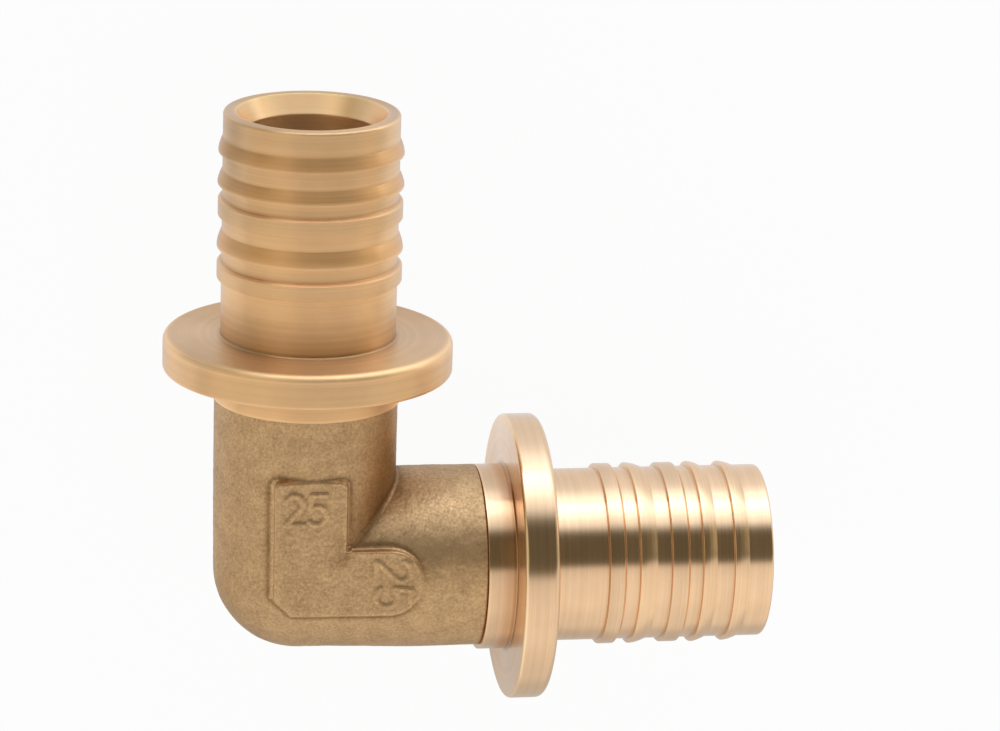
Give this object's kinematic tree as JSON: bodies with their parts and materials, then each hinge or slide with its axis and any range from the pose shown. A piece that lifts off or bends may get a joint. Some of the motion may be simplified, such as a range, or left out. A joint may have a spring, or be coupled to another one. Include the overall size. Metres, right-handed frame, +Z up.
{
  "type": "elbow fitting",
  "caption": "Right-angled elbow fitting with a ribbed spigot, round flange and turned collar on each branch and a flat raised pad on its cast body.",
  "frame": {"origin": "on the floor under the middle of the outline seen from above; the axes of the two branches cross 19 mm from it in -X and in -Y, 17 mm above the floor", "axes": "+X along one branch towards its mouth, +Y along the other branch towards its mouth, +Z up, the side with the flat pad"},
  "size_m": [0.072, 0.072, 0.034],
  "materials": {
    "cast_gunmetal": "as cast and blasted",
    "turned_gunmetal": "turned"
  },
  "bodies": {
    "root": {"elbow": "cast_gunmetal"}
  },
  "joints": []
}
